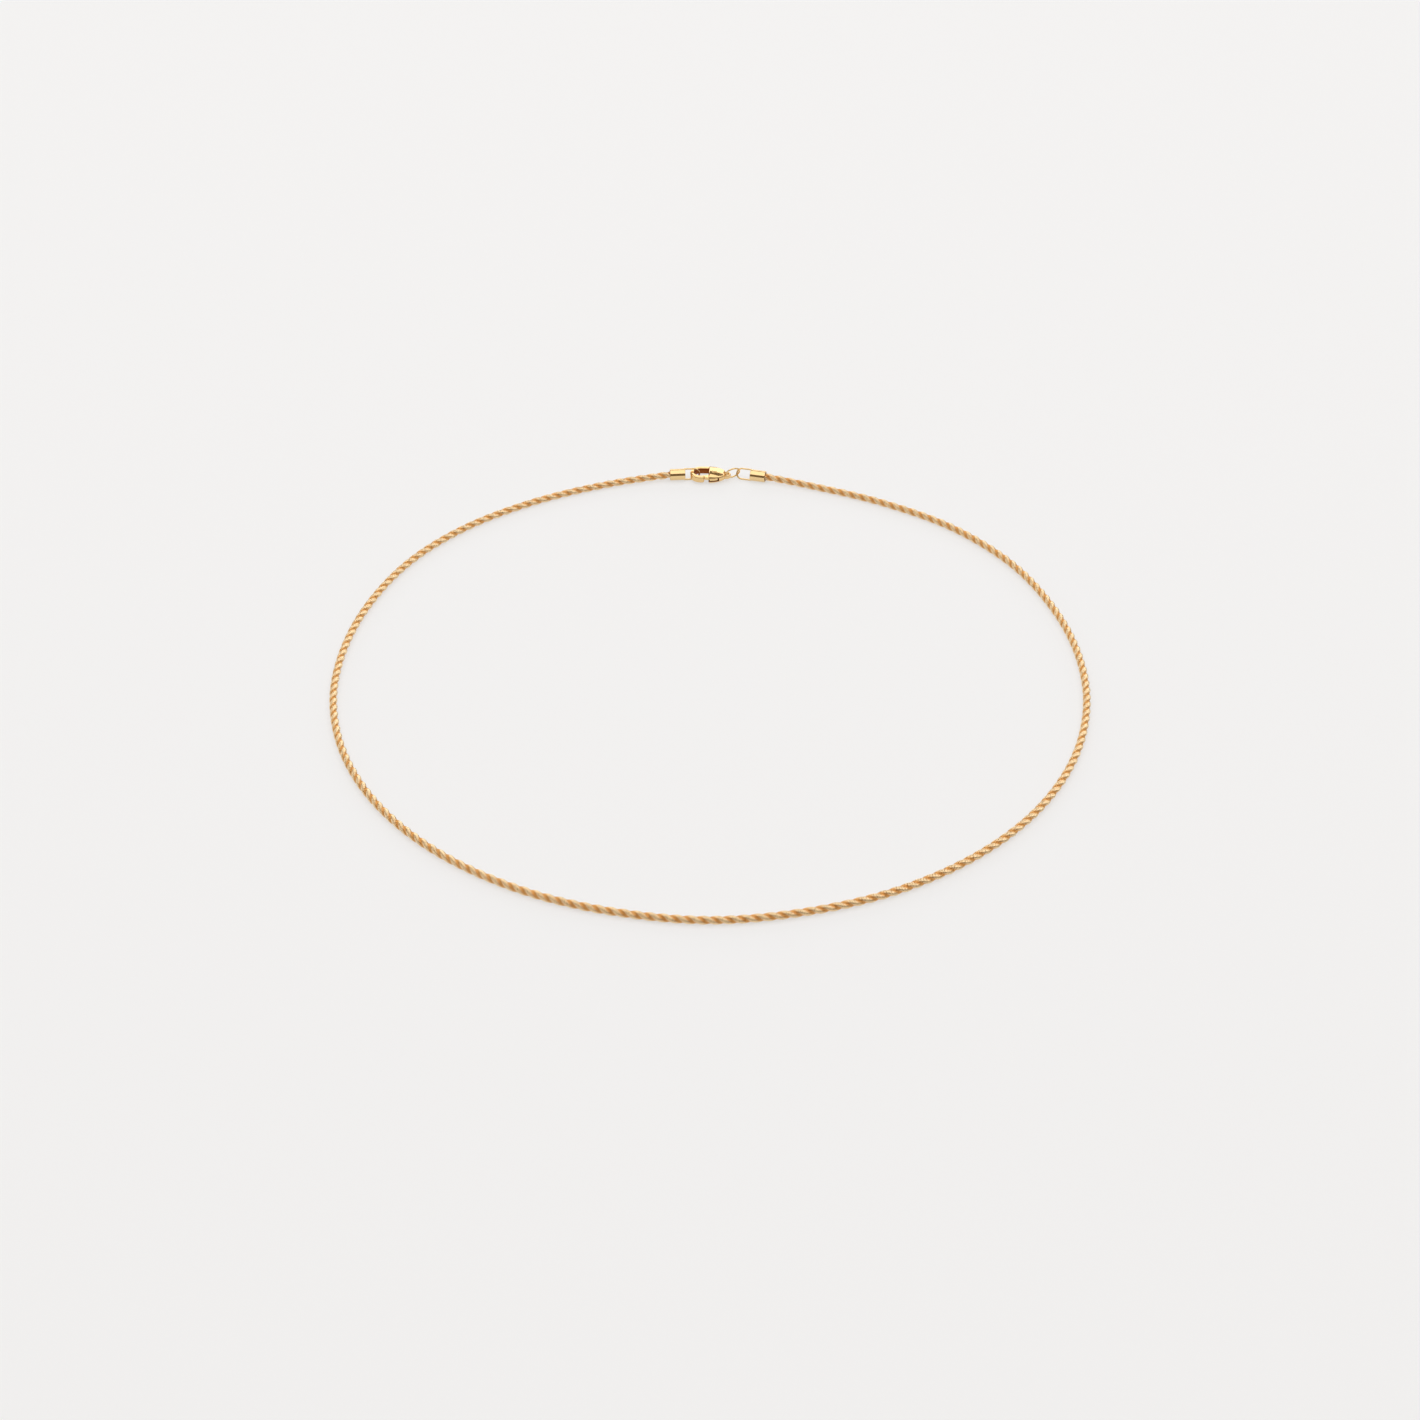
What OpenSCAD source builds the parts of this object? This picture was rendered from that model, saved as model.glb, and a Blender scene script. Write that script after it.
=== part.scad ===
// Rope chain necklace, closed and lying in a round loop on a flat surface.
// The surface is z = 0, the front of the loop is at -Y and the clasp is at +Y.

/* [Rope chain] */
// Diameter of the twisted rope
rope_d = 1.6; // [1.5:0.05:1.65]

/* [End caps] */
// Outer diameter of an end cap
cap_d = 2.4; // [2.35:0.05:2.5]
// Length of an end cap without its loop
cap_l = 3.2; // [2.8:0.1:3.6]
// Wall around the rope
cap_wall = 0.25; // [0.2:0.01:0.27]
// Thickness of the cap's closed end
cap_end_t = 0.4; // [0.3:0.05:0.6]
// Wire of the cap's loop
loop_wire_d = 0.36; // [0.32:0.02:0.38]
// Distance between the loop's two legs, centre to centre
loop_w = 2.2; // [2.16:0.02:2.24]
// Straight length of the loop's legs
loop_leg = 1.9; // [1.85:0.05:1.95]
// Lean of the loops up from the surface
loop_lean = 66; // [64:1:68]

/* [Jump ring] */
// Wire of the ring between clasp and cap
ring_wire_d = 0.36; // [0.32:0.02:0.38]
// Inner diameter of that ring
ring_bore_d = 2.68; // [2.6:0.04:2.8]
// Lean of the ring up from the surface
ring_lean = 115; // [114:1:116]

/* [Clasp] */
// Thickness of the clasp's body
body_t = 2.2; // [2.15:0.05:2.25]
// Thickness of the hook
hook_t = 1.38; // [1.3:0.02:1.4]
// Width over the hook
hook_w = 4.6; // [4.5:0.05:4.65]
// Width of the hook's arm, seen from above
arm_w = 0.94; // [0.88:0.02:0.96]
// Length from the hook's tip side to the middle of the tail eye
tail_x = 7.65; // [7.6:0.05:7.7]
// Outer diameter of the tail eye
tail_d = 1.9; // [1.85:0.05:1.95]
// Hole of the tail eye
tail_bore_d = 1.2; // [1.15:0.05:1.25]
// Thickness of the tail eye
tail_t = 0.8; // [0.75:0.05:0.8]
// Height of the slot that the lever swings in
slot_t = 0.72; // [0.7:0.02:0.8]
// Thickness of the lever
lever_t = 0.64; // [0.56:0.02:0.66]
// Diameter of the rivet's shank
rivet_d = 0.5; // [0.44:0.02:0.54]
// Diameter of the rivet's heads
rivet_head_d = 0.86; // [0.8:0.02:0.9]

/* [Hidden] */

GOLD = [0.85, 0.64, 0.33];
PALE_GOLD = [0.90, 0.74, 0.45];
DEEP_GOLD = [0.74, 0.52, 0.24];

rope_r = rope_d / 2;
sides = 8;
// corner radius of the octagon whose flats lie at the rope's radius
corner_r = rope_r / cos(180 / sides);
cap_r = cap_d / 2;
cap_bore_r = cap_r - cap_wall;
cap_chamfer = 0.15;
loop_wire_r = loop_wire_d / 2;
ring_wire_r = ring_wire_d / 2;
ring_r = ring_bore_d / 2 + ring_wire_r;

// where the closed end of each cap is, and the way its loop points
cap_left_at = [-5.25, 73.1, cap_r];
cap_left_turn = 4;
cap_right_at = [8.6, 72.836, cap_r];
cap_right_turn = 166;

// where the jump ring is, just clear of the surface, and its turn seen from above
floor_gap = 0.01;
ring_at = [4.78, 73.036, ring_r * sin(ring_lean) + ring_wire_r + floor_gap];
ring_turn = 20;

// where the hook's rounded end is, and the clasp's turn seen from above
clasp_at = [-4.2, 73.2, 0];
clasp_turn = -2;

// how far the rope goes into a cap, and its clearance to the cap's end
tip_gap = 0.1;
rope_tip_x = -(cap_end_t + tip_gap);

// a point on a cap's axis, dx from its closed end towards its loop
function on_axis(at, turn, dx) = at + dx * [cos(turn), sin(turn), 0];

// the rope's centreline from the left cap round the front to the right cap
route = [
  on_axis(cap_left_at, cap_left_turn, rope_tip_x),
  on_axis(cap_left_at, cap_left_turn, -cap_l),
  [-22, 69.5, rope_r],
  [-37, 62.5, rope_r],
  [-50.5, 52.5, rope_r],
  [-61, 39.5, rope_r],
  [-68, 23.5, rope_r],
  [-71.5, 6.5, rope_r],
  [-71.5, -10.5, rope_r],
  [-67.5, -27.5, rope_r],
  [-59.5, -43, rope_r],
  [-48, -56, rope_r],
  [-33.5, -66, rope_r],
  [-17.5, -72, rope_r],
  [0, -74.5, rope_r],
  [17.5, -72, rope_r],
  [33.5, -66, rope_r],
  [48, -56, rope_r],
  [59.5, -43, rope_r],
  [67.5, -27.5, rope_r],
  [71.5, -10.5, rope_r],
  [71.5, 6.5, rope_r],
  [68, 23, rope_r],
  [61, 39, rope_r],
  [50, 52.5, rope_r],
  [36.5, 62, rope_r],
  [22.5, 68.5, rope_r],
  on_axis(cap_right_at, cap_right_turn, -cap_l),
  on_axis(cap_right_at, cap_right_turn, rope_tip_x)
];
steps = 3;

// a smooth curve from p1 to p2, with p0 and p3 as the points around them
function spline(p0, p1, p2, p3, t) =
  (2 * p1 + (p2 - p0) * t + (2 * p0 - 5 * p1 + 4 * p2 - p3) * t * t
   + (3 * p1 - p0 - 3 * p2 + p3) * t * t * t) / 2;

// the rope never sinks below the surface it lies on
function lifted(p) = [p.x, p.y, max(p.z, rope_r)];

last = len(route) - 1;
stations = concat(
  [route[0]],
  [for (i = [1 : last - 2], k = [0 : steps - 1])
    lifted(spline(route[i - 1], route[i], route[i + 1], route[i + 2], k / steps))],
  [route[last - 1], route[last]]);

function unit(v) = v / norm(v);

// the way the rope runs at one station
function heading(i) =
  unit(stations[min(i + 1, len(stations) - 1)] - stations[max(i - 1, 0)]);

// the corners of the tube's section at one station
function section(i) =
  let (ahead = heading(i), side = unit(cross([0, 0, 1], ahead)), up = cross(ahead, side))
  [for (j = [0 : sides - 1])
    let (a = (j + 0.5) * 360 / sides)
    stations[i] + corner_r * (cos(a) * side + sin(a) * up)];

// the whole rope as one tube with an octagon for its section
module rope_chain() {
  count = len(stations);
  corners = [for (i = [0 : count - 1]) each section(i)];
  walls = [for (i = [0 : count - 2], j = [0 : sides - 1])
    let (a = i * sides + j, b = i * sides + (j + 1) % sides)
    [a, a + sides, b + sides, b]];
  start_face = [for (j = [0 : sides - 1]) j];
  end_face = [for (j = [sides - 1 : -1 : 0]) (count - 1) * sides + j];
  color(GOLD) polyhedron(points = corners, faces = concat([start_face], walls, [end_face]));
}

// a cup that holds the rope's end, closed towards +X
module cap_cup() {
  rotate([0, 90, 0]) rotate_extrude($fn = 64)
    polygon([[0, -cap_end_t], [cap_bore_r, -cap_end_t], [cap_bore_r, -cap_l], [cap_r, -cap_l],
             [cap_r, -cap_chamfer], [cap_r - cap_chamfer, 0], [0, 0]]);
}

// a loop of wire that stands out of the cup's closed end
module cap_loop() {
  for (y = [-loop_w / 2, loop_w / 2])
    translate([-cap_end_t / 2, y, 0]) rotate([0, 90, 0])
      cylinder(r = loop_wire_r, h = loop_leg + cap_end_t / 2, $fn = 24);
  translate([loop_leg, 0, 0]) rotate([0, 0, -90]) rotate_extrude(angle = 180, $fn = 64)
    translate([loop_w / 2, 0]) circle(r = loop_wire_r, $fn = 24);
}

// cup and soldered loop, placed at its closed end
module end_cap(at, turn, lean) {
  color(PALE_GOLD) translate(at) rotate([0, 0, turn]) rotate([lean, 0, 0]) {
    cap_cup();
    cap_loop();
  }
}

module end_cap_left() { end_cap(cap_left_at, cap_left_turn, loop_lean); }

module end_cap_right() { end_cap(cap_right_at, cap_right_turn, -loop_lean); }

// the ring that joins the clasp's tail to the right cap
module jump_ring() {
  color(GOLD) translate(ring_at) rotate([0, 0, ring_turn]) rotate([ring_lean, 0, 0])
    rotate_extrude($fn = 64) translate([ring_r, 0]) circle(r = ring_wire_r, $fn = 24);
}

// sizes of the clasp, seen from above with the hook's rounded end at x = 0
hook_r = hook_w / 2;
hook_inner_r = hook_r - arm_w;
hook_end_x = 2.6;
body_x = 3.95;
body_end_x = 7.1;
bow_r = 5;
bow_x = 4.2;
arm_root_l = 0.2;
neck_w = 2.4;
neck_l = 0.5;
slot_end_x = 6.1;
slot_back_y = 0.9;
// the slot's opening at the back, for the thumb tab
window_x = [4.35, 6.15];
window_y = 0.5;
pivot = [5.1, -0.3];
pivot_gap = 0.03;
head_t = 0.2;
head_gap = 0.02;
// how far a cut reaches past the surface it opens
over = 1;
lever_hub_r = 0.7;
// the gate arm's tip behind the end of the hook, and its shoulder in front
gate_tip = [[2.4, -0.86], [2.4, -1.32], [3.12, -1.32], [3.12, -1.7]];
// the gate arm where it fills the slot's mouth, and its inner edge
gate_root = [[4.15, -1.75], [4.2, -2.15], [5.1, -2.07], [5.9, -1.8], [5.75, -0.4]];
gate_back = [[5, 0.35], [3.6, -0.6]];
thumb_tab = [[4.6, 0], [5.3, 0], [5, 2.1], [4.75, 2.52], [4.5, 2.48], [4.45, 2.1]];
mid_z = body_t / 2;
tail_z = 1;

// puts a piece that is drawn from the hook's end in its place in the loop
module in_clasp_place() { translate(clasp_at) rotate([0, 0, clasp_turn]) children(); }

// a flat shape made thick by t around the height z
module slab(t, z = mid_z) { translate([0, 0, z - t / 2]) linear_extrude(t) children(); }

// the hook's C, from the body round to its rounded tip at the front
module hook_outline() {
  difference() {
    union() {
      translate([hook_r, 0]) circle(r = hook_r, $fn = 96);
      translate([hook_r, -hook_r]) square([bow_x + arm_root_l - hook_r, hook_w]);
    }
    translate([hook_r, 0]) circle(r = hook_inner_r, $fn = 96);
    translate([hook_r, -hook_inner_r]) square([body_x - hook_r, 2 * hook_inner_r]);
    translate([hook_end_x, -hook_w]) square([hook_w, hook_w - hook_inner_r]);
  }
  translate([hook_end_x, -hook_r + arm_w / 2]) circle(r = arm_w / 2, $fn = 48);
}

// the body's outline: two large bows that meet towards the tail
module body_outline() {
  intersection() {
    translate([bow_x, hook_r - bow_r]) circle(r = bow_r, $fn = 180);
    translate([bow_x, bow_r - hook_r]) circle(r = bow_r, $fn = 180);
    translate([body_x, -hook_w]) square([body_end_x - body_x, 2 * hook_w]);
  }
}

// the neck and eye at the tail
module tail_outline() {
  translate([tail_x, 0]) circle(d = tail_d, $fn = 64);
  polygon([[body_end_x - neck_l, -neck_w / 2], [body_end_x, -neck_w / 2], [tail_x, -tail_d / 2],
           [tail_x, tail_d / 2], [body_end_x, neck_w / 2], [body_end_x - neck_l, neck_w / 2]]);
}

// the room that the lever swings in, open at the front and at the thumb tab
module slot_outline() {
  translate([body_x, -hook_w]) square([slot_end_x - body_x, slot_back_y + hook_w]);
  translate([window_x[0], window_y]) square([window_x[1] - window_x[0], hook_w]);
}

module clasp_body() {
  color(PALE_GOLD) in_clasp_place() difference() {
    union() {
      slab(body_t) body_outline();
      slab(hook_t) hook_outline();
      slab(tail_t, tail_z) tail_outline();
    }
    slab(slot_t) slot_outline();
    translate([tail_x, 0, 0]) cylinder(d = tail_bore_d, h = body_t, $fn = 48);
    translate([pivot.x, pivot.y, -over])
      cylinder(r = rivet_d / 2 + head_gap, h = body_t + 2 * over, $fn = 48);
    for (z = [-over, body_t - head_t - head_gap])
      translate([pivot.x, pivot.y, z])
        cylinder(r = rivet_head_d / 2 + head_gap, h = over + head_t + head_gap, $fn = 48);
  }
}

// gate arm, hub and thumb tab of the lever, seen from above
module lever_outline() {
  translate(pivot) circle(r = lever_hub_r, $fn = 64);
  polygon(concat(gate_tip, gate_root, gate_back));
  polygon(thumb_tab);
}

module clasp_lever() {
  color(GOLD) in_clasp_place() difference() {
    slab(lever_t) lever_outline();
    translate([pivot.x, pivot.y, 0])
      cylinder(r = rivet_d / 2 + pivot_gap, h = body_t, $fn = 48);
  }
}

module clasp_rivet() {
  color(DEEP_GOLD) in_clasp_place() translate([pivot.x, pivot.y, head_gap]) {
    cylinder(d = rivet_d, h = body_t - 2 * head_gap, $fn = 48);
    cylinder(d = rivet_head_d, h = head_t - head_gap, $fn = 48);
    translate([0, 0, body_t - head_t - head_gap])
      cylinder(d = rivet_head_d, h = head_t - head_gap, $fn = 48);
  }
}

rope_chain();
end_cap_left();
end_cap_right();
jump_ring();
clasp_body();
clasp_lever();
clasp_rivet();
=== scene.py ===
import math

import bpy
import numpy as np
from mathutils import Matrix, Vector


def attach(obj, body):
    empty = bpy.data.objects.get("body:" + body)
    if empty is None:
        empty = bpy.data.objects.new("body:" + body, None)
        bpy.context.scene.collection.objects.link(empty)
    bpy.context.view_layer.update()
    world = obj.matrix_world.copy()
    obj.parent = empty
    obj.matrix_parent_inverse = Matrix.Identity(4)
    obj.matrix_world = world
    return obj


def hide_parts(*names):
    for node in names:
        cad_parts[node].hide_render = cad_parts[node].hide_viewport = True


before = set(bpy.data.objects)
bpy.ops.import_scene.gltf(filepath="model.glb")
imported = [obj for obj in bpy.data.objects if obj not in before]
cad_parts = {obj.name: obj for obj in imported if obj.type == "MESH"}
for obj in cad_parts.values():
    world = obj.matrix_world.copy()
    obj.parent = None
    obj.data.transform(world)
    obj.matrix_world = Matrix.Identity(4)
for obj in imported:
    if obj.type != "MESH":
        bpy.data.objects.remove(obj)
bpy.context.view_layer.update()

MM = 0.001

# Rope, in metres
ROPE_D = 1.6 * MM
BUMP_PITCH = 2.33 * MM
ROPE_PIECES = 6
ROPE_TIP_GAP = 0.1 * MM

# The rope's route from the left cap round the front to the right cap, in metres
ROUTE = [
    (-0.022, 0.0695), (-0.037, 0.0625), (-0.0505, 0.0525), (-0.061, 0.0395),
    (-0.068, 0.0235), (-0.0715, 0.0065), (-0.0715, -0.0105), (-0.0675, -0.0275),
    (-0.0595, -0.043), (-0.048, -0.056), (-0.0335, -0.066), (-0.0175, -0.072),
    (0.0, -0.0745), (0.0175, -0.072), (0.0335, -0.066), (0.048, -0.056),
    (0.0595, -0.043), (0.0675, -0.0275), (0.0715, -0.0105), (0.0715, 0.0065),
    (0.068, 0.023), (0.061, 0.039), (0.05, 0.0525), (0.0365, 0.062),
    (0.0225, 0.0685),
]
# Steps of the curve between two points of the route, and the reach that its heading is taken over
ROUTE_STEPS = 20
HEADING_REACH = 1.5 * MM

# Each link is a ring of round wire, set off from the rope's axis and leaning along it
LINK_R = 0.5 * MM
LINK_OFFSET = 0.17 * MM
LINK_STEP = 0.1 * MM
LINK_WIRE_R = 0.13 * MM
LINK_LEAN = 46
# Small differences from link to link: the lean in degrees and the turn in radians
LEAN_SCATTER = 1.5
TURN_SCATTER = 0.02
LINK_SEED = 7
# Sections of a link: close together where it shows, few where the rope hides it
SHOWN_SECTIONS = 10
SHOWN_REACH = 108
HIDDEN_SECTIONS = 2
LINK_WIRE_SIDES = 6
# Where the shade painted into the grooves as darker gold starts and how soon it is full, as shares of the
# rope's radius
GROOVE_START = 0.14
GROOVE_FADE = 0.1

# End caps, in metres and degrees: each is placed at its closed end
CAP_L = 3.2 * MM
CAP_R = 1.2 * MM
CAP_BORE_R = 0.95 * MM
CAP_END_T = 0.4 * MM
CAP_LEFT_AT = (-0.00525, 0.0731)
CAP_LEFT_TURN = 4
CAP_RIGHT_AT = (0.0086, 0.072836)
CAP_RIGHT_TURN = 166
LOOP_W = 2.2 * MM
LOOP_LEG = 1.9 * MM
LOOP_LEAN = 66
LOOP_WIRE_R = 0.18 * MM

# Soft edges of the caps, how deep the loop's legs go in, and their fillet of solder, in millimetres
CAP_EDGE = 0.07
CAP_BORE_EDGE = 0.05
CAP_RIM_EDGE = 0.03
LOOP_ROOT = 0.1
SOLDER = 0.1
# How far past the bore's wall the shade painted as darker gold inside a cap reaches, and how it fades
INSIDE_REACH = 0.06
INSIDE_FADE = 0.05
# The room that a cap takes, and the size of its surface's cells
CAP_ROOM = ((-3.4, -1.5, -1.4), (3.4, 1.5, 1.4))
CAP_CELL = 0.05

# Jump ring, in metres and degrees; its butted ends are a little slimmer than its wire
RING_AT = (0.00478, 0.073036)
RING_R = 1.52 * MM
RING_WIRE_R = 0.18 * MM
RING_TURN = 20
RING_LEAN = 115
RING_SLIT = 0.02 * MM
RING_SLIT_TURN = 200
RING_END_SHARE = 0.9
RING_FLOOR_GAP = 0.01 * MM
RING_SECTIONS = 96
RING_WIRE_SIDES = 20

# Place of the clasp's hook end, in metres, and its turn
CLASP_AT = (-0.0042, 0.0732)
CLASP_TURN = -2

# Clasp, drawn in millimetres from the hook's rounded end, with z = 0 at its middle height
HOOK_R = 2.3
ARM_W = 0.94
HOOK_HALF = 0.69
HOOK_END_X = 2.6
HOOK_BEND_POINTS = 25
BODY_HALF = 1.1
BODY_X = 3.95
BODY_END_X = 7.3
BOW_R = 5.0
BOW_X = 4.2
# How much of its thickness the body loses to its sides and to its tail
BODY_DOME = 0.5
DOME_LEAST = 0.02
BODY_TAPER = 0.5
TAPER_CURVE = 1.3
EYE_X = 7.65
EYE_R = 0.95
EYE_HOLE_R = 0.6
EYE_HALF = 0.4
EYE_Z = -0.1

# The lever's slot with its window for the thumb tab, the lever and its rivet
SLOT_HALF = 0.36
SLOT_END_X = 6.1
SLOT_BACK_Y = 0.9
SLOT_OVER = 0.05
WINDOW_X = 5.25
WINDOW_HALF = 0.9
WINDOW_Y = 0.5
PIVOT = (5.1, -0.3)
LEVER_HALF = 0.32
LEVER_GAP = 0.03
HUB_R = 0.7
RIVET_R = 0.25
RIVET_GAP = 0.02
HEAD_R = 0.43
HEAD_T = 0.2
HEAD_DOME = 0.25
# The gate arm: its tip behind the hook's end, its root in the slot's mouth and its inner edge
GATE = [(2.4, -0.86), (2.4, -1.32), (3.12, -1.32), (3.12, -1.7), (4.15, -1.75), (4.2, -2.15),
        (5.1, -2.07), (5.9, -1.8), (5.75, -0.4), (5.0, 0.35), (3.6, -0.6)]
THUMB_TAB = [(4.6, 0.0), (5.3, 0.0), (5.0, 2.1), (4.75, 2.52), (4.5, 2.48), (4.45, 2.1)]

# Soft edges of the casting, and the fillets where its parts meet
HOOK_EDGE = 0.28
BODY_EDGE = 0.3
FRONT_EDGE = 0.2
EYE_EDGE = 0.16
EYE_HOLE_EDGE = 0.06
SLOT_EDGE = 0.04
SEAT_EDGE = 0.03
LEVER_EDGE = 0.09
LEVER_BORE_EDGE = 0.02
SHANK_EDGE = 0.02
HEAD_EDGE = 0.03
HOOK_FILLET = 0.2
EYE_FILLET = 0.35
LEVER_FILLET = 0.1

# How far the shade painted as darker gold reaches from the hook's inner wall and from the slot, and how it
# fades
HOOK_RECESS_REACH = 0.16
HOOK_RECESS_FADE = 0.1
SLOT_RECESS_REACH = 0.06
SLOT_RECESS_FADE = 0.05
RECESS_OVER = 0.1

# The room that each piece of the clasp takes, and the size of its surface's cells
BODY_ROOM = ((-0.1, -2.5, -1.2), (8.8, 2.5, 1.2))
LEVER_ROOM = ((2.2, -2.4, -0.45), (6.2, 2.7, 0.45))
RIVET_ROOM = ((4.5, -0.9, -1.2), (5.7, 0.3, 1.2))
CLASP_CELL = 0.045

# How often a surface's points are pulled onto the true shape, and the least slope that is trusted
SURFACE_PULLS = 3
LEAST_SLOPE = 0.5

# Camera: the photograph's angle, distance and framing
FRAME_PX = 1420
FOCAL_PX = 3168
SENSOR_MM = 36.0
CAMERA_ELEVATION = 35.6
CAMERA_DISTANCE = 0.6
AIM = (0.0, -0.01204, 0.0009)
NEAREST = 0.01
FARTHEST = 20

# Soft boxes: place in metres, width and height, and power in watts
SOFT_BOXES = {
    "overhead": ((0, 0, 1.0), (2.0, 1.8), 13.6),
    "behind": ((0, 1.5, 0.55), (2.0, 0.7), 7.3),
    "left": ((-1.4, 0.1, 0.5), (1.0, 0.6), 2.7),
    "right": ((1.4, 0.1, 0.5), (1.0, 0.6), 2.7),
}
ROOM_COLOUR = (0.6, 0.475, 0.33, 1)
ROOM_STRENGTH = 0.3

# Pale floor: its own colour, and the glow that keeps the shadows on it faint
FLOOR_REACH = 3.0
FLOOR_COLOUR = (0.315, 0.319, 0.329, 1)
FLOOR_GLOW = (0.57, 0.567, 0.564, 1)
FLOOR_ROUGHNESS = 0.7
FLOOR_SPECULAR = 0.2

# Golds: the colour of the metal, a darker gold painted into the recesses as shade, and its finish
ROPE_FINISH = {
    "Gold": (1.0, 0.8, 0.51, 1), "Painted shade gold": (0.8, 0.44, 0.15, 1),
    "Polish": 0.24, "Haze": 0.08, "Dents": 0.1, "Grain": 1000.0,
}
CAP_FINISH = {
    "Gold": (0.9, 0.66, 0.34, 1), "Painted shade gold": (0.5, 0.22, 0.06, 1),
    "Polish": 0.06, "Haze": 0.06, "Dents": 0.15, "Grain": 1000.0,
}
CLASP_FINISH = {
    "Gold": (0.88, 0.62, 0.3, 1), "Painted shade gold": (0.3, 0.08, 0.02, 1),
    "Polish": 0.08, "Haze": 0.08, "Dents": 0.25, "Grain": 1000.0,
}
# The noise that clouds the colour and dents the surface, and the finer one that hazes the polish
CLOUD_SCALE = 0.9
CLOUD_DETAIL = 4
CLOUD_TINT = 0.1
HAZE_SCALE = 6
HAZE_DETAIL = 3
RECESS_ROUGHNESS = 0.25
DENT_DEPTH = 0.02 * MM


# Small helpers

def turned(points, degrees, axis):
    """The points turned about one of the axes x, y or z through the origin."""
    c, s = math.cos(math.radians(degrees)), math.sin(math.radians(degrees))
    turn = {
        "x": [[1, 0, 0], [0, c, -s], [0, s, c]],
        "y": [[c, 0, s], [0, 1, 0], [-s, 0, c]],
        "z": [[c, -s, 0], [s, c, 0], [0, 0, 1]],
    }[axis]
    return points @ np.array(turn).T


def lengths(vectors):
    """The length of each vector along the last axis, which is kept."""
    return np.linalg.norm(vectors, axis=-1, keepdims=True)


def tube_faces(sections, sides, closed):
    """Faces of a bent tube from its sections' points, with its ends joined where it is closed."""
    i, j = np.meshgrid(np.arange(sections if closed else sections - 1), np.arange(sides), indexing="ij")
    next_i = (i + 1) % sections
    next_j = (j + 1) % sides
    return np.stack([i * sides + j, next_i * sides + j,
                     next_i * sides + next_j, i * sides + next_j], axis=-1).reshape(-1, 4)


def piece(name, points, faces, body, material, stands_for, recess=None):
    """A smooth mesh object made from arrays, riding on a body and standing for a node."""
    mesh = bpy.data.meshes.new(name)
    points = np.asarray(points, np.float32)
    faces = np.asarray(faces, np.int32)
    mesh.vertices.add(len(points))
    mesh.vertices.foreach_set("co", points.ravel())
    mesh.loops.add(faces.size)
    mesh.loops.foreach_set("vertex_index", faces.ravel())
    mesh.polygons.add(len(faces))
    mesh.polygons.foreach_set("loop_start", np.arange(0, faces.size, faces.shape[1], dtype=np.int32))
    mesh.update(calc_edges=True)
    mesh.shade_smooth()
    if recess is not None:
        layer = mesh.attributes.new("recess", "FLOAT", "POINT")
        layer.data.foreach_set("value", np.asarray(recess, np.float32))
    mesh.materials.append(material)
    made = bpy.data.objects.new(name, mesh)
    bpy.context.scene.collection.objects.link(made)
    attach(made, body)
    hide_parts(stands_for)


# The rope

def on_cap_axis(at, turn, along):
    """A point on a cap's axis, some way from its closed end towards its loop."""
    a = math.radians(turn)
    return (at[0] + along * math.cos(a), at[1] + along * math.sin(a), CAP_R)


def rope_line():
    """The rope's centreline as closely spaced points, with the distance along it."""
    tip = -(CAP_END_T + ROPE_TIP_GAP)
    knots = np.array(
        [on_cap_axis(CAP_LEFT_AT, CAP_LEFT_TURN, tip), on_cap_axis(CAP_LEFT_AT, CAP_LEFT_TURN, -CAP_L)]
        + [(x, y, ROPE_D / 2) for x, y in ROUTE]
        + [on_cap_axis(CAP_RIGHT_AT, CAP_RIGHT_TURN, -CAP_L), on_cap_axis(CAP_RIGHT_AT, CAP_RIGHT_TURN, tip)])
    line = [knots[0]]
    for p0, p1, p2, p3 in zip(knots, knots[1:], knots[2:], knots[3:]):
        for t in np.arange(0, 1, 1 / ROUTE_STEPS):
            line.append((2 * p1 + (p2 - p0) * t + (2 * p0 - 5 * p1 + 4 * p2 - p3) * t ** 2
                         + (3 * p1 - p0 - 3 * p2 + p3) * t ** 3) / 2)
    line = np.array(line + [knots[-2], knots[-1]])
    line[:, 2] = np.maximum(line[:, 2], ROPE_D / 2)
    along = np.concatenate([[0], np.cumsum(lengths(np.diff(line, axis=0))[:, 0])])
    return line, along


def along_rope(line, along, places):
    """Centre, side, up and heading of the rope at each of these distances along it."""
    def at(distances):
        return np.stack([np.interp(distances, along, line[:, i]) for i in range(3)], axis=1)

    ahead = at(places + HEADING_REACH) - at(places - HEADING_REACH)
    ahead /= lengths(ahead)
    side = np.cross([0, 0, 1], ahead)
    side /= lengths(side)
    return at(places), side, np.cross(ahead, side), ahead


def link_wires(middle, out, normal):
    """Points of the links' wires, by link, by section round the link and by side of the wire."""
    shown = np.linspace(-SHOWN_REACH, SHOWN_REACH, SHOWN_SECTIONS)
    hidden = np.linspace(SHOWN_REACH, 360 - SHOWN_REACH, HIDDEN_SECTIONS + 2)[1:-1]
    a = np.radians(np.concatenate([shown, hidden]))[None, :, None, None]
    b = np.linspace(0, 2 * math.pi, LINK_WIRE_SIDES, endpoint=False)[None, None, :, None]
    tangent = np.cross(normal, out)
    radial = np.cos(a) * out[:, None, None] + np.sin(a) * tangent[:, None, None]
    wire = np.cos(b) * radial + np.sin(b) * normal[:, None, None]
    return middle[:, None, None] + LINK_R * radial + LINK_WIRE_R * wire


def groove_depth(points, centre, ahead):
    """How far in the rope's grooves each point of the links lies, from 0 to 1: where shade is painted in as
    darker gold.
    """
    from_axis = points - centre[:, None, None]
    from_axis = from_axis - (from_axis * ahead[:, None, None]).sum(-1, keepdims=True) * ahead[:, None, None]
    depth = 1 - lengths(from_axis)[..., 0] / (ROPE_D / 2)
    return np.clip((depth - GROOVE_START) / GROOVE_FADE, 0, 1)


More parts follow.
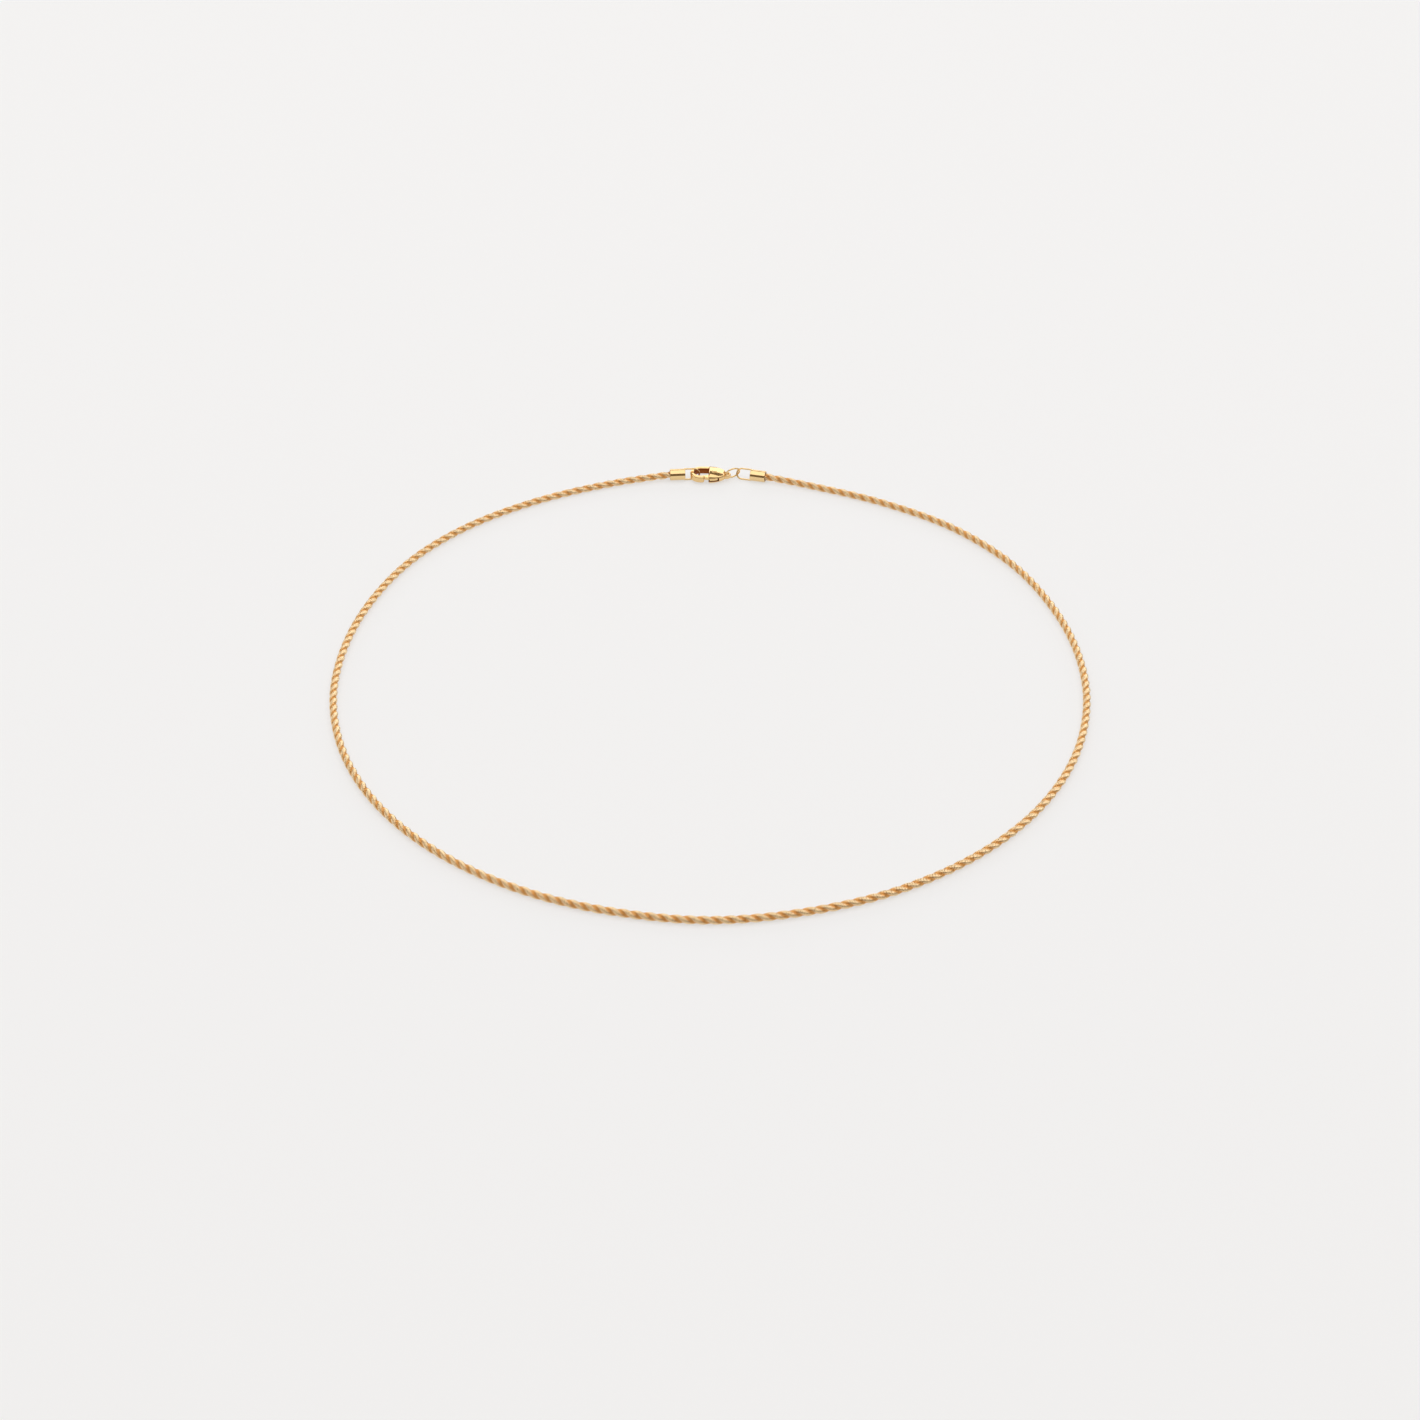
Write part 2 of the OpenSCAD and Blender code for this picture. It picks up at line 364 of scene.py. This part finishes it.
def rope_links(material):
    """The rope: round links in two rows on opposite sides of its axis, turning as they go."""
    line, along = rope_line()
    end = LINK_R * math.sin(math.radians(LINK_LEAN)) + LINK_WIRE_R
    count = int((along[-1] - 2 * end) / LINK_STEP) + 1
    k = np.arange(count)
    centre, side, up, ahead = along_rope(line, along, end + k * LINK_STEP)
    chance = np.random.default_rng(LINK_SEED)
    twist = math.pi + math.pi * LINK_STEP / BUMP_PITCH
    angle = (k * twist + chance.normal(0, TURN_SCATTER, count))[:, None]
    lean = np.radians(LINK_LEAN + chance.normal(0, LEAN_SCATTER, count))[:, None]
    out = np.cos(angle) * side + np.sin(angle) * up
    across = -np.sin(angle) * side + np.cos(angle) * up
    normal = np.sin(lean) * across + np.cos(lean) * ahead
    points = link_wires(centre + LINK_OFFSET * out, out, normal)
    # Painted shade: links deeper in the grooves go darker gold.
    recess = groove_depth(points, centre, ahead)

    sections = SHOWN_SECTIONS + HIDDEN_SECTIONS
    link = tube_faces(sections, LINK_WIRE_SIDES, closed=True)
    for number, mine in enumerate(np.array_split(k, ROPE_PIECES), start=1):
        first = np.arange(len(mine)) * sections * LINK_WIRE_SIDES
        faces = (link[None] + first[:, None, None]).reshape(-1, 4)
        piece(f"rope_links_{number}", points[mine].reshape(-1, 3), faces, "necklace", material,
              "rope_chain", recess[mine].ravel())


# Shapes given as the distance to their surface, in millimetres, negative inside

def soft_union(a, b, blend):
    """Shapes a and b as one, with a fillet where they meet."""
    h = np.clip(0.5 + 0.5 * (b - a) / blend, 0, 1)
    return b + (a - b) * h - blend * h * (1 - h)


def soft_cut(a, b, blend):
    """Shape a without shape b, with a rounded edge."""
    return -soft_union(-a, b, blend)


def slab(flat, z, half, edge):
    """A flat outline made thick by half each way, with its edges rounded."""
    across = flat + edge
    up = np.abs(z) - half + edge
    return (np.hypot(np.maximum(across, 0), np.maximum(up, 0))
            + np.minimum(np.maximum(across, up), 0) - edge)


def to_path(x, y, path):
    """Distance in plan to a line of straight pieces."""
    nearest = np.full(np.broadcast(x, y).shape, np.inf)
    for (ax, ay), (bx, by) in zip(path, path[1:]):
        dx, dy = bx - ax, by - ay
        t = np.clip(((x - ax) * dx + (y - ay) * dy) / (dx * dx + dy * dy), 0, 1)
        nearest = np.minimum(nearest, np.hypot(x - ax - t * dx, y - ay - t * dy))
    return nearest


def in_outline(x, y, corners):
    """Distance in plan to a closed outline, negative inside it."""
    edge = to_path(x, y, corners + corners[:1])
    inside = np.zeros(edge.shape, bool)
    for (ax, ay), (bx, by) in zip(corners, corners[1:] + corners[:1]):
        if ay != by:
            crosses = (ay > y) != (by > y)
            inside ^= crosses & (x < (bx - ax) * (y - ay) / (by - ay) + ax)
    return np.where(inside, -edge, edge)


def arc(cx, cy, r, start, stop, count):
    """Points along an arc round a centre, between two angles in degrees."""
    return [(cx + r * math.cos(math.radians(a)), cy + r * math.sin(math.radians(a)))
            for a in np.linspace(start, stop, count)]


def pulled(shape, points, reach):
    """How far and which way each point lies from the shape's surface."""
    def at(p):
        return shape(p[:, 0], p[:, 1], p[:, 2])

    slope = np.stack([at(points + d) - at(points - d) for d in np.eye(3) * reach], axis=1) / (2 * reach)
    return slope * (at(points) / np.maximum((slope ** 2).sum(-1), LEAST_SLOPE ** 2))[:, None]


def shifted(grid, corner):
    """The grid's values at one corner of each cell; a corner is 0 or 1 along each axis."""
    nx, ny, nz = grid.shape
    i, j, k = corner
    return grid[i:nx - 1 + i, j:ny - 1 + j, k:nz - 1 + k]


def cell_points(value, crossed):
    """The middle of the surface's crossings with the edges of each crossed cell, in cells."""
    cells = np.argwhere(crossed)
    total = np.zeros((len(cells), 3))
    weight = np.zeros((len(cells), 1))
    corners = [(i, j, k) for i in (0, 1) for j in (0, 1) for k in (0, 1)]
    for a in corners:
        for axis in range(3):
            if a[axis]:
                continue
            b = tuple(v + (n == axis) for n, v in enumerate(a))
            va = shifted(value, a)[crossed]
            vb = shifted(value, b)[crossed]
            cut = (va < 0) != (vb < 0)
            share = np.where(cut, va / np.where(cut, va - vb, 1), 0)
            total += (np.array(a) + share[:, None] * (np.array(b) - a)) * cut[:, None]
            weight += cut[:, None]
    return cells + total / weight


def cell_faces(solid, crossed):
    """A face across each grid edge that goes through the surface, between the four cells round it."""
    number = np.full(crossed.shape, -1)
    number[crossed] = np.arange(crossed.sum())
    faces = []
    for axis in range(3):
        one, two = [n for n in range(3) if n != axis]
        starts, ends = [slice(None)] * 3, [slice(None)] * 3
        starts[axis], ends[axis] = slice(0, -1), slice(1, None)
        edges = np.argwhere(solid[tuple(starts)] != solid[tuple(ends)])
        edges = edges[(edges[:, one] > 0) & (edges[:, two] > 0)]
        around = []
        for da, db in ((-1, -1), (0, -1), (0, 0), (-1, 0)):
            at = edges.copy()
            at[:, one] += da
            at[:, two] += db
            around.append(number[at[:, 0], at[:, 1], at[:, 2]])
        quads = np.stack(around, axis=1)
        flip = solid[edges[:, 0], edges[:, 1], edges[:, 2]] == (axis == 1)
        quads[flip] = quads[flip][:, ::-1]
        faces.append(quads)
    return np.concatenate(faces)


def cast(shape, room, cell):
    """Points and faces of a shape's surface: one point in each cell that it crosses."""
    axes = [np.arange(low, high + cell, cell) for low, high in zip(*room)]
    x, y, z = axes[0][:, None, None], axes[1][None, :, None], axes[2][None, None, :]
    value = np.broadcast_to(shape(x, y, z), [len(a) for a in axes])
    solid = value < 0
    filled = sum(shifted(solid, (i, j, k)).astype(np.int8) for i in (0, 1) for j in (0, 1) for k in (0, 1))
    crossed = (filled > 0) & (filled < 8)
    points = np.array([a[0] for a in axes]) + cell_points(value, crossed) * cell
    for _ in range(SURFACE_PULLS):
        points = points - pulled(shape, points, cell / 4)
    return points, cell_faces(solid, crossed)


# End caps: a cup for the rope's end with a loop of wire soldered to its closed end

def end_cap_shape(x, y, z):
    r = np.hypot(y, z)
    cup_l, cup_r = CAP_L / MM, CAP_R / MM
    bore_r, end_t = CAP_BORE_R / MM, CAP_END_T / MM
    cup = slab(r - cup_r, x + cup_l / 2, cup_l / 2, CAP_EDGE)
    bore = slab(r - bore_r, x + end_t + cup_l, cup_l, CAP_BORE_EDGE)
    cup = soft_cut(cup, bore, CAP_RIM_EDGE)
    leg, half, wire = LOOP_LEG / MM, LOOP_W / MM / 2, LOOP_WIRE_R / MM
    on_leg = np.hypot(np.abs(y) - half, np.minimum(x + LOOP_ROOT, 0))
    on_bend = np.abs(np.hypot(x - leg, y) - half)
    loop = np.hypot(np.where(x < leg, on_leg, on_bend), z) - wire
    return soft_union(cup, loop, SOLDER)


def end_cap(node, at, turn, lean, material):
    points, faces = cast(end_cap_shape, CAP_ROOM, CAP_CELL)
    # Painted shade: the cap goes darker gold inside its bore.
    depth = CAP_BORE_R / MM + INSIDE_REACH - np.hypot(points[:, 1], points[:, 2])
    inside = np.clip(depth / INSIDE_FADE, 0, 1) * (points[:, 0] < -CAP_END_T / MM / 2)
    points = turned(turned(points * MM, lean, "x"), turn, "z") + (*at, CAP_R)
    piece(f"{node}_metal", points, faces, "necklace", material, node, inside)


# Jump ring: round wire bent to a ring, its ends butted together

def jump_ring(material):
    slit = RING_SLIT / RING_R
    a = np.linspace(slit / 2, 2 * math.pi - slit / 2, RING_SECTIONS) + math.radians(RING_SLIT_TURN)
    b = np.linspace(0, 2 * math.pi, RING_WIRE_SIDES, endpoint=False)
    share = np.ones(RING_SECTIONS)
    share[[0, -1]] = RING_END_SHARE
    thick = RING_WIRE_R * share[:, None]
    radial = RING_R + thick * np.cos(b)
    points = np.stack([radial * np.cos(a)[:, None], radial * np.sin(a)[:, None],
                       np.broadcast_to(thick * np.sin(b), radial.shape)], axis=-1).reshape(-1, 3)
    ends = []
    for first, turn in ((0, 1), ((RING_SECTIONS - 1) * RING_WIRE_SIDES, -1)):
        ends += [[first, first + n, first + n + 1, first + n + 2][::turn]
                 for n in range(1, RING_WIRE_SIDES - 2, 2)]
    faces = np.concatenate([tube_faces(RING_SECTIONS, RING_WIRE_SIDES, closed=False), ends])
    lift = RING_R * math.sin(math.radians(RING_LEAN)) + RING_WIRE_R + RING_FLOOR_GAP
    points = turned(turned(points, RING_LEAN, "x"), RING_TURN, "z") + (*RING_AT, lift)
    piece("jump_ring_wire", points, faces, "necklace", material, "jump_ring")


# Clasp

def hook_shape(x, y, z):
    """The hook's C, from the body round to its end at the front."""
    arm_r = HOOK_R - ARM_W / 2
    bend = arc(HOOK_R, 0, arm_r, 90, 270, HOOK_BEND_POINTS)
    path = [(BOW_X, arm_r)] + bend + [(HOOK_END_X, -arm_r)]
    return slab(to_path(x, y, path) - ARM_W / 2, z, HOOK_HALF, HOOK_EDGE)


def middle_shape(x, y, z):
    """The body between hook and tail: two bows in plan, domed across and thinner to the tail."""
    bows = np.hypot(x - BOW_X, np.abs(y) - HOOK_R + BOW_R) - BOW_R
    flat = np.maximum(soft_cut(bows, x - BODY_X, FRONT_EDGE), x - BODY_END_X)
    dome = np.sqrt(np.maximum(1 - (y / HOOK_R) ** 2, DOME_LEAST))
    taper = np.clip((x - BOW_X) / (BODY_END_X - BOW_X), 0, 1) ** TAPER_CURVE
    half = BODY_HALF * (1 - BODY_DOME + BODY_DOME * dome) * (1 - BODY_TAPER * taper)
    return slab(flat, z, half, BODY_EDGE)


def eye_shape(x, y, z):
    """The ring-shaped eye at the tail."""
    rim = (EYE_R - EYE_HOLE_R) / 2
    from_eye = np.hypot(x - EYE_X, y)
    return slab(np.abs(from_eye - EYE_HOLE_R - rim) - rim, z - EYE_Z, EYE_HALF, EYE_EDGE)


def slot_shape(x, y, z):
    """The room that the lever swings in, open at the front and at the thumb tab."""
    mouth = np.maximum(x - SLOT_END_X, y - SLOT_BACK_Y)
    window = np.maximum(np.abs(x - WINDOW_X) - WINDOW_HALF, WINDOW_Y - y)
    room = np.maximum(np.minimum(mouth, window), BODY_X - SLOT_OVER - x)
    return np.maximum(room, np.abs(z) - SLOT_HALF)


def rivet_hole_shape(x, y, z):
    """The rivet's bore with a seat for each of its heads."""
    from_pivot = np.hypot(x - PIVOT[0], y - PIVOT[1])
    bore = from_pivot - RIVET_R - RIVET_GAP
    seat = np.maximum(from_pivot - HEAD_R - RIVET_GAP, BODY_HALF - HEAD_T - RIVET_GAP - np.abs(z))
    return np.minimum(bore, seat)


def clasp_body_shape(x, y, z):
    shape = soft_union(middle_shape(x, y, z), hook_shape(x, y, z), HOOK_FILLET)
    shape = soft_union(shape, eye_shape(x, y, z), EYE_FILLET)
    shape = soft_cut(shape, np.hypot(x - EYE_X, y) - EYE_HOLE_R, EYE_HOLE_EDGE)
    shape = soft_cut(shape, slot_shape(x, y, z), SLOT_EDGE)
    return soft_cut(shape, rivet_hole_shape(x, y, z), SEAT_EDGE)


def clasp_lever_shape(x, y, z):
    """Hub, gate arm and thumb tab, with the hub's bore."""
    from_pivot = np.hypot(x - PIVOT[0], y - PIVOT[1])
    flat = soft_union(from_pivot - HUB_R, in_outline(x, y, GATE), LEVER_FILLET)
    flat = soft_union(flat, in_outline(x, y, THUMB_TAB), LEVER_FILLET)
    flat = soft_cut(flat, from_pivot - RIVET_R - LEVER_GAP, LEVER_BORE_EDGE)
    return slab(flat, z, LEVER_HALF, LEVER_EDGE)


def clasp_rivet_shape(x, y, z):
    """Shank with a low domed head at each end."""
    r = np.hypot(x - PIVOT[0], y - PIVOT[1])
    shank = slab(r - RIVET_R, z, BODY_HALF - HEAD_T / 2, SHANK_EDGE)
    dome = BODY_HALF - RIVET_GAP - HEAD_DOME * r * r
    head = np.maximum(r - HEAD_R, np.maximum(np.abs(z) - dome, BODY_HALF - HEAD_T - np.abs(z)))
    return soft_union(shank, head, HEAD_EDGE)


def clasp_recess(points):
    """Where the casting can't be polished, so it is rougher, and where shade is painted in as darker gold:
    inside the hook and in the lever's slot.
    """
    x, y, z = points.T
    in_hook = np.where(x < HOOK_R, np.hypot(x - HOOK_R, y), np.abs(y)) - (HOOK_R - ARM_W)
    hook = np.clip((HOOK_RECESS_REACH - in_hook) / HOOK_RECESS_FADE, 0, 1)
    slot = np.clip((SLOT_HALF + SLOT_RECESS_REACH - np.abs(z)) / SLOT_RECESS_FADE, 0, 1)
    in_slot = (x > BODY_X - SLOT_OVER) & (x < SLOT_END_X + RECESS_OVER)
    return np.maximum(hook * (x < BODY_X + RECESS_OVER), slot * in_slot)


def clasp_piece(node, shape, room, body, material, has_recess=False):
    points, faces = cast(shape, room, CLASP_CELL)
    # Painted shade: the hook's inside and the slot go darker gold.
    recess = clasp_recess(points) * has_recess
    points = turned((points + (0, 0, BODY_HALF)) * MM, CLASP_TURN, "z") + (*CLASP_AT, 0)
    piece(f"{node}_metal", points, faces, body, material, node, recess)


# Materials

def gold_finish_group():
    """Small variations that every gold surface here has: colour, haze and fine dents, with shade painted into
    recesses as darker gold.
    """
    group = bpy.data.node_groups.new("gold_finish", "ShaderNodeTree")
    face = group.interface
    for label, kind, value in (("Gold", "NodeSocketColor", (0.9, 0.65, 0.3, 1)),
                               ("Painted shade gold", "NodeSocketColor", (0.5, 0.25, 0.08, 1)),
                               ("Recess", "NodeSocketFloat", 0.0),
                               ("Polish", "NodeSocketFloat", 0.1),
                               ("Haze", "NodeSocketFloat", 0.1),
                               ("Dents", "NodeSocketFloat", 0.1),
                               ("Grain", "NodeSocketFloat", 1.0)):
        face.new_socket(label, in_out="INPUT", socket_type=kind).default_value = value
    for label, kind in (("Color", "NodeSocketColor"), ("Roughness", "NodeSocketFloat"),
                        ("Normal", "NodeSocketVector")):
        face.new_socket(label, in_out="OUTPUT", socket_type=kind)
    nodes, join = group.nodes, group.links.new
    given, made = nodes.new("NodeGroupInput").outputs, nodes.new("NodeGroupOutput").inputs
    where = nodes.new("ShaderNodeTexCoord")
    scaled = nodes.new("ShaderNodeVectorMath")
    scaled.operation = "SCALE"
    join(where.outputs["Object"], scaled.inputs[0])
    join(given["Grain"], scaled.inputs["Scale"])

    def noise(scale, detail):
        """A noise over the surface, from 0 to 1."""
        node = nodes.new("ShaderNodeTexNoise")
        node.inputs["Scale"].default_value = scale
        node.inputs["Detail"].default_value = detail
        join(scaled.outputs[0], node.inputs["Vector"])
        return node.outputs["Fac"]

    def times_plus(value, factor, added, clamp=False):
        """A value times a factor, plus another value; each is an output or a number."""
        node = nodes.new("ShaderNodeMath")
        node.operation = "MULTIPLY_ADD"
        node.use_clamp = clamp
        for socket, source in zip(node.inputs, (value, factor, added)):
            if isinstance(source, float):
                socket.default_value = source
            else:
                join(source, socket)
        return node.outputs[0]

    cloud = noise(CLOUD_SCALE, CLOUD_DETAIL)
    haze = noise(HAZE_SCALE, HAZE_DETAIL)
    colour = nodes.new("ShaderNodeMix")
    colour.data_type = "RGBA"
    # The recess mixes in the darker gold as painted shade; the cloud adds a little random tone.
    join(times_plus(cloud, CLOUD_TINT, given["Recess"], clamp=True), colour.inputs["Factor"])
    join(given["Gold"], colour.inputs["A"])
    join(given["Painted shade gold"], colour.inputs["B"])
    join(colour.outputs["Result"], made["Color"])
    hazed = times_plus(haze, given["Haze"], given["Polish"])
    join(times_plus(given["Recess"], RECESS_ROUGHNESS, hazed), made["Roughness"])
    bump = nodes.new("ShaderNodeBump")
    bump.inputs["Distance"].default_value = DENT_DEPTH
    join(given["Dents"], bump.inputs["Strength"])
    join(cloud, bump.inputs["Height"])
    join(bump.outputs["Normal"], made["Normal"])
    return group


def gold(name, group, values):
    """A gold: the Principled shader fed by the shared finish with its own values."""
    material = bpy.data.materials.new(name)
    material.use_nodes = True
    nodes, join = material.node_tree.nodes, material.node_tree.links.new
    shader = nodes["Principled BSDF"]
    shader.inputs["Metallic"].default_value = 1.0
    finish = nodes.new("ShaderNodeGroup")
    finish.node_tree = group
    for label, value in values.items():
        finish.inputs[label].default_value = value
    # The recess attribute marks where shade is painted in as darker gold.
    recess = nodes.new("ShaderNodeAttribute")
    recess.attribute_name = "recess"
    join(recess.outputs["Fac"], finish.inputs["Recess"])
    join(finish.outputs["Color"], shader.inputs["Base Color"])
    join(finish.outputs["Roughness"], shader.inputs["Roughness"])
    join(finish.outputs["Normal"], shader.inputs["Normal"])
    return material


def floor_material():
    material = bpy.data.materials.new("pale_floor")
    material.use_nodes = True
    shader = material.node_tree.nodes["Principled BSDF"]
    shader.inputs["Base Color"].default_value = FLOOR_COLOUR
    shader.inputs["Emission Color"].default_value = FLOOR_GLOW
    shader.inputs["Emission Strength"].default_value = 1.0
    shader.inputs["Roughness"].default_value = FLOOR_ROUGHNESS
    shader.inputs["Specular IOR Level"].default_value = FLOOR_SPECULAR
    return material


# Stage, light and camera

def floor():
    mesh = bpy.data.meshes.new("floor")
    reach = FLOOR_REACH
    mesh.from_pydata([(-reach, -reach, 0), (reach, -reach, 0), (reach, reach, 0), (-reach, reach, 0)],
                     [], [(0, 1, 2, 3)])
    mesh.materials.append(floor_material())
    made = bpy.data.objects.new("floor", mesh)
    bpy.context.scene.collection.objects.link(made)


def soft_box(name, at, size, power):
    """A rectangular soft light that faces the loop's middle."""
    data = bpy.data.lights.new(name, "AREA")
    data.shape = "RECTANGLE"
    data.size, data.size_y = size
    data.energy = power
    made = bpy.data.objects.new(name, data)
    made.location = at
    made.rotation_mode = "QUATERNION"
    made.rotation_quaternion = (-Vector(at)).to_track_quat("-Z", "Y")
    bpy.context.scene.collection.objects.link(made)


def room_light():
    world = bpy.data.worlds.new("studio")
    bpy.context.scene.world = world
    world.use_nodes = True
    back = world.node_tree.nodes["Background"]
    back.inputs["Color"].default_value = ROOM_COLOUR
    back.inputs["Strength"].default_value = ROOM_STRENGTH


def camera():
    data = bpy.data.cameras.new("camera")
    data.sensor_width = SENSOR_MM
    data.lens = SENSOR_MM * FOCAL_PX / FRAME_PX
    data.clip_start, data.clip_end = NEAREST, FARTHEST
    made = bpy.data.objects.new("camera", data)
    e = math.radians(CAMERA_ELEVATION)
    back = Vector((0, -math.cos(e), math.sin(e)))
    made.location = Vector(AIM) + back * CAMERA_DISTANCE
    made.rotation_mode = "QUATERNION"
    made.rotation_quaternion = (-back).to_track_quat("-Z", "Y")
    bpy.context.scene.collection.objects.link(made)
    bpy.context.scene.camera = made


camera()
floor()
room_light()
for box_name, (box_at, box_size, box_power) in SOFT_BOXES.items():
    soft_box(box_name, box_at, box_size, box_power)
bpy.context.scene.view_settings.view_transform = "Standard"

finish_group = gold_finish_group()
rope_gold = gold("rope_gold", finish_group, ROPE_FINISH)
cap_gold = gold("cap_gold", finish_group, CAP_FINISH)
wire_gold = gold("wire_gold", finish_group, CAP_FINISH)
clasp_gold = gold("clasp_gold", finish_group, CLASP_FINISH)

rope_links(rope_gold)
end_cap("end_cap_left", CAP_LEFT_AT, CAP_LEFT_TURN, LOOP_LEAN, cap_gold)
end_cap("end_cap_right", CAP_RIGHT_AT, CAP_RIGHT_TURN, -LOOP_LEAN, cap_gold)
jump_ring(wire_gold)
clasp_piece("clasp_body", clasp_body_shape, BODY_ROOM, "necklace", clasp_gold, has_recess=True)
clasp_piece("clasp_lever", clasp_lever_shape, LEVER_ROOM, "lever", clasp_gold)
clasp_piece("clasp_rivet", clasp_rivet_shape, RIVET_ROOM, "necklace", clasp_gold)
